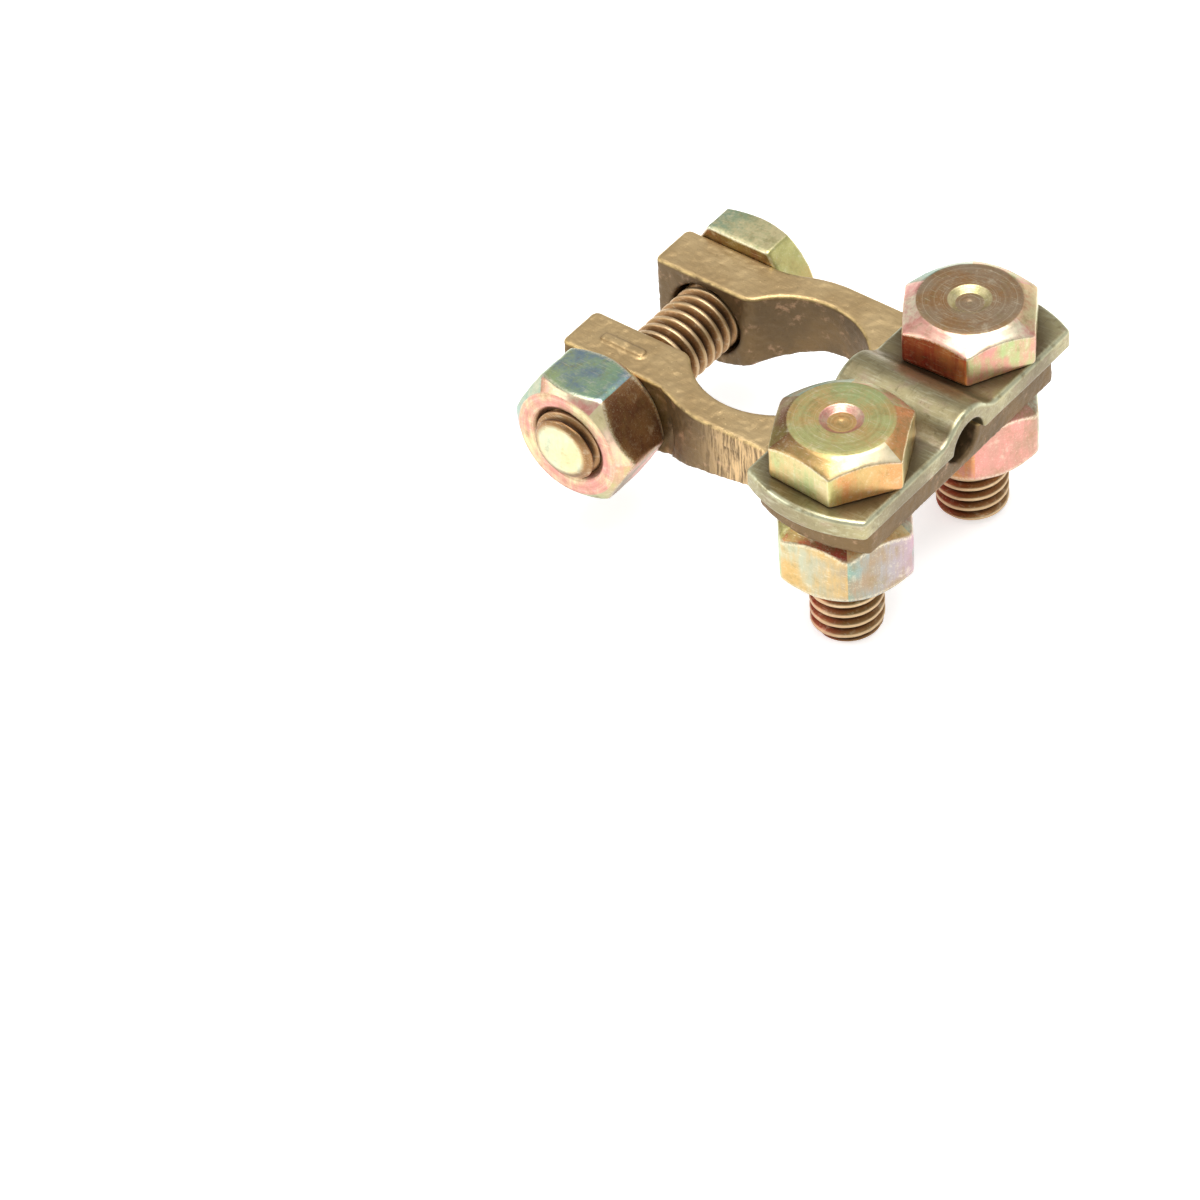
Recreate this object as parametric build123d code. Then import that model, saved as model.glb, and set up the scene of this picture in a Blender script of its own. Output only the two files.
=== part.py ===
from build123d import *
import os
from math import cos, radians, sqrt

# Battery terminal clamp, in millimetres.
# The origin is on the post bore's axis, level with the casting's bottom face.
# +Z is up, +X runs from the post to the cable and +Y runs across, towards the pinch bolt's head.

# Ring round the battery post
body_height = 11.0
bore_top_radius = 9.3
post_taper = 1 / 9  # loss of diameter for each millimetre up the post
ring_wall = 3.7

# Jaw, two ears that the pinch bolt draws together
jaw_gap = 10.2
ear_thickness = 6.0
ear_overhang = 6.6  # from the pinch bolt's axis to the ears' tips
pinch_offset = 4.5  # from the bore's wall to the pinch bolt's axis
ear_blend = 9.0
ear_tip_round = 0.9
jaw_corner_round = 0.7
seat_margin = 0.5  # flat seat round the pinch bolt's head and nut, past their corners

# Underside, two gentle rises from the ears and a step up to the platform
ear_foot = 8.4  # length of the flat foot under the ears
rise_bend_setback = 1.5  # from the post's axis back to where the rise eases
rise_bend_height = 3.5
ring_front_height = 5.0  # how high the ring's underside is where the step begins
step_slant = 0.6

# Platform under the cable
platform_thickness = 4.0
platform_inset = 1.5  # how far its flat underside reaches in past the bore's wall
platform_length = 14.2
platform_half_width = 18.0
platform_end_bow = 1.7
platform_blend = 2.5

# Saddle plate over the cable
plate_thickness = 2.3
plate_length = 15.1
plate_half_width = 20.2
plate_end_bow = 2.0
plate_edge_slope = 0.6
cable_radius = 2.7
hump_wall = 1.7
hump_foot_round = 0.5
channel_lip_round = 0.4

# Fasteners, 5/16 inch with 18 threads to the inch
inch = 25.4
thread_diameter = 5 / 16 * inch
thread_pitch = inch / 18
thread_root_radius = 3.2
thread_sides = 24  # flat sides of each ring that stands for a turn of thread
clearance_hole_diameter = 8.8
across_flats = 13.9
head_height = 5.3
head_face_radius = 5.65
head_corner_drop = 1.6
dimple_radius = 2.9
dimple_floor_radius = 1.6
dimple_depth = 0.5
nut_height = 8.0
nut_face_radius = 6.3
nut_corner_drop = 1.5
countersink_radius = 4.75
countersink_depth = 0.7
cable_bolt_length = 23.0
pinch_bolt_length = 31.4

# Fits
thread_clearance = 0.05  # between a shank and its nut, on the radius
plate_to_bore = -0.1  # from the bore's top edge out to the plate
cable_bolt_setback = 7.2  # from the plate's inner edge to the cable bolts' axes
head_to_hump = 0.05
left_head_turn = -4.0  # each head's hexagon, turned from square to the hump
right_head_turn = 2.7
cable_nut_turn = 8.3

# What follows from the sizes above
cut_margin = 2.0
bore_bottom_radius = bore_top_radius + body_height * post_taper / 2
bore_middle_radius = (bore_top_radius + bore_bottom_radius) / 2
ring_radius = bore_top_radius + ring_wall
ear_outer_y = jaw_gap / 2 + ear_thickness
pinch_x = -(bore_top_radius + pinch_offset)
pinch_z = body_height / 2
ear_tip_x = pinch_x - ear_overhang
plate_inner_x = bore_top_radius + plate_to_bore
platform_front_x = plate_inner_x + platform_length
platform_bottom_z = body_height - platform_thickness
plate_top_z = body_height + plate_thickness
nut_bottom_z = platform_bottom_z - nut_height
cable_bolt_x = plate_inner_x + cable_bolt_setback
hump_radius = cable_radius + hump_wall
corner_radius = across_flats / 2 / cos(radians(30))
thread_radius = thread_diameter / 2
hole_radius = clearance_hole_diameter / 2
hump_foot_y = sqrt((hump_radius + hump_foot_round) ** 2 - (plate_thickness + hump_foot_round) ** 2)


def head_reach(turn):
    """How far a turned hexagon reaches towards the hump from its axis."""
    return corner_radius * cos(radians(30 - abs(turn)))


widest_reach = max(head_reach(left_head_turn), head_reach(right_head_turn))
cable_bolt_y = hump_foot_y + widest_reach + head_to_hump


def nearest(shapes, x, y, z=0):
    """The vertex or edge that lies nearest to a point."""
    return shapes.sort_by_distance((x, y, z))[0]


def strap(length, half_width, end_bow):
    """A plan with two straight sides across the cable and bowed ends."""
    front_x = plate_inner_x + length
    middle_x = plate_inner_x + length / 2
    corner_y = half_width - end_bow
    outline = Line((front_x, -corner_y), (front_x, corner_y))
    outline += ThreePointArc((front_x, corner_y), (middle_x, half_width), (plate_inner_x, corner_y))
    outline += Line((plate_inner_x, corner_y), (plate_inner_x, -corner_y))
    outline += ThreePointArc((plate_inner_x, -corner_y), (middle_x, -half_width), (front_x, -corner_y))
    return make_face(outline)


def casting_plan():
    """The casting seen from above, before its bore and holes are cut."""
    ear_centre_y = (jaw_gap / 2 + ear_outer_y) / 2
    plan = Circle(ring_radius)
    for side in (-1, 1):
        plan += Pos(ear_tip_x / 2, side * ear_centre_y) * Rectangle(-ear_tip_x, ear_thickness)
    neck_length = plate_inner_x + cut_margin
    plan += Pos(neck_length / 2, 0) * Rectangle(neck_length, 2 * ring_radius)
    plan += strap(platform_length, platform_half_width, platform_end_bow)
    join_x = -sqrt(ring_radius**2 - ear_outer_y**2)
    blends = [nearest(plan.vertices(), join_x, side * ear_outer_y) for side in (-1, 1)]
    plan = fillet(blends, ear_blend)
    steps = [nearest(plan.vertices(), plate_inner_x, side * ring_radius) for side in (-1, 1)]
    plan = fillet(steps, platform_blend)
    tips = [nearest(plan.vertices(), ear_tip_x, side * ear_outer_y) for side in (-1, 1)]
    return fillet(tips, ear_tip_round)


def space_below():
    """What is cut from under the casting, where it rises from the ears to the platform."""
    foot_end_x = ear_tip_x + ear_foot
    step_x = bore_top_radius - platform_inset
    far_x = platform_front_x + cut_margin
    profile = Polyline(
        (foot_end_x, -cut_margin),
        (foot_end_x, 0),
        (-rise_bend_setback, rise_bend_height),
        (step_x - step_slant, ring_front_height),
        (step_x, platform_bottom_z),
        (far_x, platform_bottom_z),
        (far_x, -cut_margin),
        close=True,
    )
    return extrude(Plane.XZ * make_face(profile), plate_half_width + cut_margin, both=True)


def post_bore():
    """The tapered bore and the slot that opens it between the ears."""
    slope = post_taper / 2
    bore = Pos(0, 0, -cut_margin) * Cone(
        bore_bottom_radius + slope * cut_margin,
        bore_top_radius - slope * cut_margin,
        body_height + 2 * cut_margin,
        align=(Align.CENTER, Align.CENTER, Align.MIN),
    )
    slot_length = cut_margin - ear_tip_x
    return bore + Pos(-slot_length / 2, 0, body_height / 2) * Box(slot_length, jaw_gap, body_height + cut_margin)


def clamp_body():
    """The brass casting: a split ring with two ears and a platform for the cable."""
    body = extrude(casting_plan(), body_height)
    body -= space_below()
    body -= post_bore()
    jaw_corner_x = -sqrt(bore_middle_radius**2 - (jaw_gap / 2) ** 2)
    corners = [nearest(body.edges(), jaw_corner_x, side * jaw_gap / 2, body_height / 2) for side in (-1, 1)]
    body = fillet(corners, jaw_corner_round)
    body -= Pos(pinch_x, 0, pinch_z) * Rot(90, 0, 0) * Cylinder(hole_radius, 2 * ear_outer_y + cut_margin)
    for side in (-1, 1):
        seat = Pos(pinch_x, side * (ear_outer_y + body_height / 2), pinch_z) * Rot(90, 0, 0)
        body -= seat * Cylinder(corner_radius + seat_margin, body_height)
        body -= Pos(cable_bolt_x, side * cable_bolt_y, body_height / 2) * Cylinder(hole_radius, 2 * body_height)
    groove_length = platform_front_x + cut_margin
    body -= Pos(groove_length / 2, 0, body_height) * Rot(0, 90, 0) * Cylinder(cable_radius, groove_length)
    return body


def saddle_plate():
    """The pressed steel strap, with a hump that holds the cable down in its groove."""
    middle_x = plate_inner_x + plate_length / 2
    flat = extrude(strap(plate_length, plate_half_width, plate_end_bow), plate_thickness)
    end_edges = flat.edges().filter_by(GeomType.CIRCLE).group_by(Axis.Z)[-1]
    flat = chamfer(end_edges, plate_edge_slope)
    along = Pos(middle_x, 0, 0) * Rot(0, 90, 0)
    hump = along * Cylinder(hump_radius, plate_length)
    hump -= Pos(middle_x, 0, -hump_radius) * Box(2 * plate_length, 4 * hump_radius, 2 * hump_radius)
    plate = flat + hump
    foot_y = sqrt(hump_radius**2 - plate_thickness**2)
    feet = [nearest(plate.edges(), middle_x, side * foot_y, plate_thickness) for side in (-1, 1)]
    plate = fillet(feet, hump_foot_round)
    plate -= along * Cylinder(cable_radius, 2 * plate_length)
    lips = [nearest(plate.edges(), middle_x, side * cable_radius) for side in (-1, 1)]
    plate = fillet(lips, channel_lip_round)
    for side in (-1, 1):
        place = Pos(cable_bolt_x, side * cable_bolt_y, plate_thickness / 2)
        plate -= place * Cylinder(hole_radius, 2 * plate_thickness)
    return Pos(0, 0, body_height) * plate


def turned(points):
    """A solid of revolution about Z, from its profile's radii and heights."""
    return revolve(Plane.XZ * make_face(Polyline(*points, close=True)), Axis.Z)


def hexagon(height):
    """A hexagonal bar with two corners on the X axis."""
    return extrude(RegularPolygon(corner_radius, 6), height)


def drop_at(radius, face_radius, corner_drop):
    """How far the cone that takes off a hexagon's corners lies below its face, at a radius."""
    return corner_drop * (radius - face_radius) / (corner_radius - face_radius)


def nut():
    """A hexagon nut, from its lower face at the origin up."""
    outer = corner_radius + cut_margin
    drop = drop_at(outer, nut_face_radius, nut_corner_drop)
    envelope = turned(
        [
            (0, 0),
            (nut_face_radius, 0),
            (outer, drop),
            (outer, nut_height - drop),
            (nut_face_radius, nut_height),
            (0, nut_height),
        ]
    )
    bore_radius = thread_radius + thread_clearance
    hole = turned(
        [
            (0, 0),
            (countersink_radius, 0),
            (bore_radius, countersink_depth),
            (bore_radius, nut_height - countersink_depth),
            (countersink_radius, nut_height),
            (0, nut_height),
        ]
    )
    return (hexagon(nut_height) & envelope) - hole


def head():
    """A hexagon head with a dimple in its face, standing on its seat at the origin."""
    outer = corner_radius + cut_margin
    drop = drop_at(outer, head_face_radius, head_corner_drop)
    dimple_floor = head_height - dimple_depth
    envelope = turned(
        [
            (0, 0),
            (outer, 0),
            (outer, head_height - drop),
            (head_face_radius, head_height),
            (dimple_radius, head_height),
            (dimple_floor_radius, dimple_floor),
            (0, dimple_floor),
        ]
    )
    return hexagon(head_height) & envelope


def thread_rings(bottom, top):
    """A stretch of thread between two heights, as a chain of rings a pitch apart."""
    turns = int((top - bottom) / thread_pitch)
    sections = []
    for turn in range(turns):
        foot = bottom + turn * thread_pitch
        sections.append(Pos(0, 0, foot) * RegularPolygon(thread_root_radius, thread_sides))
        sections.append(Pos(0, 0, foot + thread_pitch / 2) * RegularPolygon(thread_radius, thread_sides))
    sections.append(Pos(0, 0, bottom + turns * thread_pitch) * RegularPolygon(thread_root_radius, thread_sides))
    sections.append(Pos(0, 0, top) * RegularPolygon(thread_root_radius, thread_sides))
    return loft(sections, ruled=True)


def bolt(length, open_from, open_to):
    """A hexagon bolt with its head's seat at the origin, ringed where its thread is open to view."""
    shank = Pos(0, 0, -open_from / 2) * Cylinder(thread_radius, open_from)
    shank += thread_rings(-open_to, -open_from)
    if open_to < length:
        end_slope = thread_radius - thread_root_radius
        shank += turned(
            [
                (0, -open_to),
                (thread_radius, -open_to),
                (thread_radius, end_slope - length),
                (thread_root_radius, -length),
                (0, -length),
            ]
        )
    return head() + shank


def cable_fasteners():
    """The two bolts through the saddle plate and the nuts under the platform."""
    pieces = {}
    for name, side, turn in (("left", -1, left_head_turn), ("right", 1, right_head_turn)):
        place = Pos(cable_bolt_x, side * cable_bolt_y, 0)
        screw = bolt(cable_bolt_length, plate_top_z - nut_bottom_z, cable_bolt_length)
        pieces[f"cable_bolt_{name}"] = place * Pos(0, 0, plate_top_z) * Rot(0, 0, turn) * screw
        pieces[f"cable_nut_{name}"] = place * Pos(0, 0, nut_bottom_z) * Rot(0, 0, cable_nut_turn) * nut()
    return pieces


def pinch_fasteners():
    """The bolt across the jaw and its nut, each against the outside of an ear."""
    axis = Pos(pinch_x, 0, pinch_z) * Rot(-90, 0, 0)
    screw = bolt(pinch_bolt_length, ear_thickness, ear_thickness + jaw_gap)
    return {
        "pinch_bolt": axis * Pos(0, 0, ear_outer_y) * screw,
        "pinch_nut": axis * Pos(0, 0, -ear_outer_y - nut_height) * nut(),
    }


pieces = {"clamp_body": clamp_body(), "saddle_plate": saddle_plate()}
pieces.update(cable_fasteners())
pieces.update(pinch_fasteners())

os.makedirs("parts", exist_ok=True)
for name, piece in pieces.items():
    solids = piece.solids()
    export_step(solids[0] if len(solids) == 1 else piece, f"parts/{name}.step")
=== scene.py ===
import math

import bmesh
import bpy
from mathutils import Matrix, Vector, noise


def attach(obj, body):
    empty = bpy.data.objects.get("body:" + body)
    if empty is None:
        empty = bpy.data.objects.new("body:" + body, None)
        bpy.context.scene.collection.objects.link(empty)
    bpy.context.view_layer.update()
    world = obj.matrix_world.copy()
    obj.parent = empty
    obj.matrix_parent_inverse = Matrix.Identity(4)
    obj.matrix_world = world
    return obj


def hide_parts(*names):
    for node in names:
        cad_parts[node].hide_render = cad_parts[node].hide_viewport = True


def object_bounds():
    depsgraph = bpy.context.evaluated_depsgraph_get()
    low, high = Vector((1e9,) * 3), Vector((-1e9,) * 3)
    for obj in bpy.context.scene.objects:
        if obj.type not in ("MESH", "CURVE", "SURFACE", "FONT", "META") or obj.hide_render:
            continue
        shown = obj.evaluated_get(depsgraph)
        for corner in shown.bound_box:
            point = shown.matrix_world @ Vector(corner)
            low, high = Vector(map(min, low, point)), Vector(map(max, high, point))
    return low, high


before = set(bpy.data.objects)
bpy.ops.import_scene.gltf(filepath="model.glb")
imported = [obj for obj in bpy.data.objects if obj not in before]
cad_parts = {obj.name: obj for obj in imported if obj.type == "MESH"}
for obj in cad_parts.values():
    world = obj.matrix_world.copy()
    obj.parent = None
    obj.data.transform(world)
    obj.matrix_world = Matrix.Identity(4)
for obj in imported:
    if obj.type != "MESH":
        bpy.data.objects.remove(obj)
cad_low, cad_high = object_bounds()

MM = 0.001
SIXTH = math.pi / 3


# Sockets that do arithmetic, and the bench that adds nodes to one tree


class Value:
    """One output of a node. Arithmetic on it adds Math nodes to its tree."""

    def __init__(self, bench, socket):
        self.bench = bench
        self.socket = socket

    def __add__(self, other):
        return self.bench.maths("ADD", self, other)

    def __radd__(self, other):
        return self.bench.maths("ADD", other, self)

    def __sub__(self, other):
        return self.bench.maths("SUBTRACT", self, other)

    def __rsub__(self, other):
        return self.bench.maths("SUBTRACT", other, self)

    def __mul__(self, other):
        return self.bench.maths("MULTIPLY", self, other)

    def __rmul__(self, other):
        return self.bench.maths("MULTIPLY", other, self)

    def __truediv__(self, other):
        return self.bench.maths("DIVIDE", self, other)

    def __neg__(self):
        return self.bench.maths("MULTIPLY", self, -1.0)

    def __abs__(self):
        return self.bench.maths("ABSOLUTE", self)

    def least(self, other):
        return self.bench.maths("MINIMUM", self, other)

    def most(self, other):
        return self.bench.maths("MAXIMUM", self, other)

    def across(self, other):
        """The length of the two numbers taken as the sides of a right angle."""
        flat = self.bench.node("ShaderNodeCombineXYZ", sockets={"X": self, "Y": other})
        return self.bench.node("ShaderNodeVectorMath", {"operation": "LENGTH"}, {0: flat}, "Value")

    def rise(self, start, end):
        """0 before start, 1 after end, smooth between them."""
        limits = {"Value": self, "From Min": start, "From Max": end}
        return self.bench.node("ShaderNodeMapRange", {"interpolation_type": "SMOOTHSTEP"}, limits)

    def other(self, name):
        """Another output of the same node."""
        return Value(self.bench, self.socket.node.outputs[name])


class Bench:
    """Adds nodes to the tree of one material or one shape."""

    def __init__(self, tree):
        self.tree = tree

    def node(self, kind, settings=None, sockets=None, output=0):
        """A node of a kind, with its settings made first and then its sockets' values or links."""
        made = self.tree.nodes.new(kind)
        for name, setting in (settings or {}).items():
            if name == "stops":
                self.fill_ramp(made.color_ramp, setting)
            else:
                setattr(made, name, setting)
        for key, value in (sockets or {}).items():
            if isinstance(value, Value):
                self.tree.links.new(value.socket, made.inputs[key])
            else:
                made.inputs[key].default_value = value
        return Value(self, made.outputs[output]) if made.outputs else made

    @staticmethod
    def fill_ramp(ramp, stops):
        while len(ramp.elements) < len(stops):
            ramp.elements.new(1.0)
        for element, (place, colour) in zip(ramp.elements, stops):
            element.position = place
            element.color = colour

    def maths(self, operation, *terms):
        return self.node("ShaderNodeMath", {"operation": operation}, dict(enumerate(terms)))

    def blend(self, share, first, second):
        """A colour between two colours."""
        return self.node("ShaderNodeMix", {"data_type": "RGBA"}, {0: share, 6: first, 7: second}, 2)

    def layered(self, colour, layers):
        """A colour with others laid over it in turn, each by its own share."""
        for share, laid in layers:
            colour = self.blend(share, colour, laid)
        return colour

    def grain(self, place, scale, detail=3.0, roughness=0.55, seed=0.0):
        """Noise between 0 and 1, with about one spot in each 1/scale."""
        where = {"W": seed, "Vector": place, "Scale": scale, "Detail": detail, "Roughness": roughness}
        return self.node("ShaderNodeTexNoise", {"noise_dimensions": "4D"}, where)

    def stretched(self, place, along):
        """The place with its three parts scaled, which draws a pattern out."""
        return self.node("ShaderNodeVectorMath", {"operation": "MULTIPLY"}, {0: place, 1: along})

    def kept(self, name, output="Fac"):
        """A number, or a colour, stored on the mesh."""
        return self.node("ShaderNodeAttribute", {"attribute_name": name}, output=output)


# Rounded joins and cuts of distances, in millimetres


def joined(first, second, radius):
    """Two forms together, with a hollow fillet where they meet."""
    fillet = (radius - first).most(0.0).across((radius - second).most(0.0))
    return first.least(second).most(radius) - fillet


def shared(first, second, radius):
    """What two forms have in common, with a rounded edge where they meet."""
    rounding = (first + radius).most(0.0).across((second + radius).most(0.0))
    return first.most(second).least(-radius) + rounding


def cut(form, hollow, radius):
    """A form with a hollow taken out of it, and a rounded edge round the hollow."""
    return shared(form, -hollow, radius)


# Shapes made by node trees


def new_shape(name, sizes):
    """A tree with one named input for each size, its bench, and the inputs as values."""
    tree = bpy.data.node_groups.new(name, "GeometryNodeTree")
    tree.interface.new_socket("Mesh", in_out="OUTPUT", socket_type="NodeSocketGeometry")
    for size in sizes:
        tree.interface.new_socket(size, in_out="INPUT", socket_type="NodeSocketFloat")
    bench = Bench(tree)
    inlet = tree.nodes.new("NodeGroupInput")
    return bench, {size: Value(bench, inlet.outputs[size]) for size in sizes}


def kept_on(bench, mesh, name, value):
    """The mesh with a number stored at each of its points."""
    sockets = {"Geometry": mesh, "Name": name, "Value": value}
    return bench.node("GeometryNodeStoreNamedAttribute", {"data_type": "FLOAT", "domain": "POINT"}, sockets)


def pushed(bench, mesh, distance):
    """The mesh moved along its own normals."""
    normal = bench.node("GeometryNodeInputNormal")
    offset = bench.node("ShaderNodeVectorMath", {"operation": "SCALE"}, {0: normal, "Scale": distance})
    return bench.node("GeometryNodeSetPosition", sockets={"Geometry": mesh, "Offset": offset})


def settled(bench, mesh):
    """The mesh with each point moved towards the middle of its neighbours."""
    place = bench.node("GeometryNodeInputPosition")
    middle = bench.node("GeometryNodeBlurAttribute", {"data_type": "FLOAT_VECTOR"}, {0: place, "Iterations": 2})
    return bench.node("GeometryNodeSetPosition", sockets={"Geometry": mesh, "Position": middle})


def surface_of(bench, distance, low, high, step):
    """The mesh where a distance is nought, from a grid that fills the box from low to high."""
    counts = [round((top - bottom) / step) for bottom, top in zip(low, high)]
    inside = (0.5 - distance).most(0.0).least(1.0)
    sockets = {"Density": inside, "Min": low, "Max": high}
    sockets.update({f"Resolution {axis}": count for axis, count in zip("XYZ", counts)})
    volume = bench.node("GeometryNodeVolumeCube", sockets=sockets)
    grid = {"Volume": volume, "Threshold": 0.5, "Adaptivity": 0.0}
    mesh = bench.node("GeometryNodeVolumeToMesh", {"resolution_mode": "GRID"}, grid)
    for _ in range(3):
        mesh = pushed(bench, settled(bench, mesh), -distance)
    return mesh


def finished(bench, mesh, material):
    """Ends a tree: true size, smooth faces, no instances, and the material."""
    place = bench.node("GeometryNodeInputPosition")
    true_place = bench.node("ShaderNodeVectorMath", {"operation": "SCALE"}, {0: place, "Scale": MM})
    mesh = bench.node("GeometryNodeSetPosition", sockets={"Geometry": mesh, "Position": true_place})
    mesh = bench.node("GeometryNodeSetShadeSmooth", sockets={"Geometry": mesh, "Shade Smooth": True})
    mesh = bench.node("GeometryNodeRealizeInstances", sockets={"Geometry": mesh})
    mesh = bench.node("GeometryNodeSetMaterial", sockets={"Geometry": mesh, "Material": material})
    bench.node("NodeGroupOutput", sockets={"Mesh": mesh})


def baked(bench, sizes):
    """The plain mesh that a shape's tree makes with these sizes."""
    carrier = bpy.data.objects.new("carrier", bpy.data.meshes.new("carrier"))
    bpy.context.scene.collection.objects.link(carrier)
    modifier = carrier.modifiers.new("shape", "NODES")
    modifier.node_group = bench.tree
    for item in bench.tree.interface.items_tree:
        if item.in_out == "INPUT":
            modifier[item.identifier] = float(sizes[item.name])
    graph = bpy.context.evaluated_depsgraph_get()
    shape = carrier.evaluated_get(graph)
    mesh = bpy.data.meshes.new_from_object(shape, preserve_all_data_layers=True, depsgraph=graph)
    carrier.modifiers.remove(modifier)
    bpy.data.objects.remove(carrier)
    return mesh


def place_parts(bench):
    """The place of a point, in millimetres, and its three parts."""
    place = bench.node("GeometryNodeInputPosition")
    parts = bench.node("ShaderNodeSeparateXYZ", sockets={0: place})
    return place, parts, parts.other("Y"), parts.other("Z")


# Colours and materials


def paint(red, green, blue):
    """A colour written in steps of 0 to 255, as the linear numbers that sockets take."""
    parts = [step / 255 for step in (red, green, blue)]
    return (*[p / 12.92 if p <= 0.04045 else ((p + 0.055) / 1.055) ** 2.4 for p in parts], 1.0)


def grey(level):
    """A grey written as the linear number that sockets take."""
    return (level, level, level, 1.0)


def new_material(name):
    """A material with an empty tree but for its output, its bench, and the place in millimetres."""
    material = bpy.data.materials.new(name)
    material.use_nodes = True
    material.node_tree.nodes.clear()
    bench = Bench(material.node_tree)
    place = bench.node("ShaderNodeTexCoord", output="Object")
    place = bench.node("ShaderNodeVectorMath", {"operation": "SCALE"}, {0: place, "Scale": 1 / MM})
    return material, bench, place


def metal(bench, colour, roughness, height, depth, metallic):
    """Ends a material's tree: a metal with a bump of a depth in millimetres."""
    bump = {"Strength": 1.0, "Distance": depth * MM, "Height": height}
    normal = bench.node("ShaderNodeBump", sockets=bump)
    sockets = {"Base Color": colour, "Roughness": roughness, "Metallic": metallic, "Normal": normal}
    shader = bench.node("ShaderNodeBsdfPrincipled", sockets=sockets)
    bench.node("ShaderNodeOutputMaterial", sockets={"Surface": shader})


PALETTE = {
    "cream": paint(236, 226, 196),
    "straw": paint(220, 206, 158),
    "gold": paint(202, 168, 108),
    "orange": paint(216, 150, 96),
    "red": paint(166, 66, 52),
    "rose": paint(214, 148, 136),
    "mauve": paint(186, 152, 166),
    "blue": paint(122, 140, 156),
    "teal": paint(122, 160, 142),
    "green": paint(176, 188, 130),
    "lime": paint(190, 186, 122),
    "olive": paint(136, 120, 70),
    "brown": paint(124, 84, 58),
    "bronze": paint(158, 120, 80),
    "stone": paint(160, 138, 112),
    "pearl": paint(194, 204, 176),
    # Painted shade for the thread roots, then a painted highlight for the thread crests.
    "painted_root_shade": paint(58, 40, 26),
    "painted_crest_highlight": paint(226, 200, 158),
}
LEFT_IN_PICTURE = math.radians(220)
AWAY_IN_PICTURE = math.radians(130)


def mixed(first, second, share):
    """A colour between two of the palette's."""
    return [low + (high - low) * share for low, high in zip(PALETTE[first], PALETTE[second])]


def chromate(name, seed):
    """Yellow chromate on zinc, whose colours run into each other in streaks and patches."""
    material, bench, place = new_material(name)
    main = bench.kept("main", "Color")
    accent = bench.kept("accent", "Color")
    crest = bench.kept("crest")
    threaded = bench.kept("threaded")
    border = bench.kept("border")
    lathed = bench.kept("lathed")
    broad = bench.grain(place, 0.3, 2.0, 0.5, seed)
    streaks = bench.grain(bench.stretched(place, (2.6, 2.6, 0.3)), 1.0, 3.0, 0.6, seed + 3.0)
    fine = bench.grain(place, 4.2, 4.0, 0.62, seed + 7.0)
    patches = (broad * 0.65 + streaks * 0.27 + fine * 0.08).rise(0.4, 0.62)
    patina = bench.grain(place, 0.9, 4.0, 0.66, seed + 12.0)
    scratches = bench.grain(bench.stretched(place, (0.5, 7.0, 7.0)), 1.0, 2.0, 0.5, seed + 15.0)
    radius = bench.node("ShaderNodeCombineXYZ", sockets={"X": lathed})
    rings = bench.grain(radius, 3.2, 3.0, 0.7, seed + 9.0)
    turned = lathed.rise(0.0, 0.2)
    layers = [
        (patina.rise(0.5, 0.72) * 0.4, PALETTE["olive"]),
        (patina.rise(0.46, 0.28) * 0.35, PALETTE["cream"]),
        (scratches.rise(0.6, 0.68) * 0.3, PALETTE["cream"]),
        (turned * rings.rise(0.48, 0.62) * 0.22, PALETTE["brown"]),
        (turned * rings.rise(0.5, 0.34) * 0.3, PALETTE["cream"]),
        (fine.rise(0.52, 0.78) * 0.2, PALETTE["cream"]),
        (fine.rise(0.46, 0.26) * 0.16, PALETTE["brown"]),
        (border * fine.rise(0.34, 0.6) * 0.7, PALETTE["cream"]),
    ]
    tint = bench.layered(bench.blend(patches, main, accent), layers)
    # Painted shade darkens the thread's roots and a painted highlight lightens the tops of its crests.
    thread = bench.blend(crest.rise(0.0, 0.6), PALETTE["painted_root_shade"], tint)
    thread = bench.blend(crest.rise(0.82, 1.0) * 0.6, thread, PALETTE["painted_crest_highlight"])
    colour = bench.blend(threaded, tint, thread)
    roughness = 0.27 + fine * 0.16 + threaded * 0.08
    height = fine * 0.4 + streaks * 0.3 + scratches * 0.3 + rings * turned * 0.6
    metal(bench, colour, roughness, height, 0.022, 0.88)
    return material


BRASS = {
    "skin": paint(104, 82, 50),
    "pale skin": paint(142, 112, 68),
    "inner skin": paint(112, 94, 70),
    "skin spot": paint(186, 150, 118),
    "skin pit": paint(78, 58, 36),
    "rubbed": paint(226, 192, 142),
    "low edge": paint(222, 162, 88),
    "face": paint(178, 150, 106),
    "pale face": paint(202, 176, 130),
    "face line": paint(158, 130, 88),
    "face pit": paint(144, 114, 72),
    "face glint": paint(222, 194, 136),
    "nick": paint(238, 214, 160),
    "dent": paint(112, 88, 56),
    "edge": paint(232, 202, 138),
}


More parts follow.
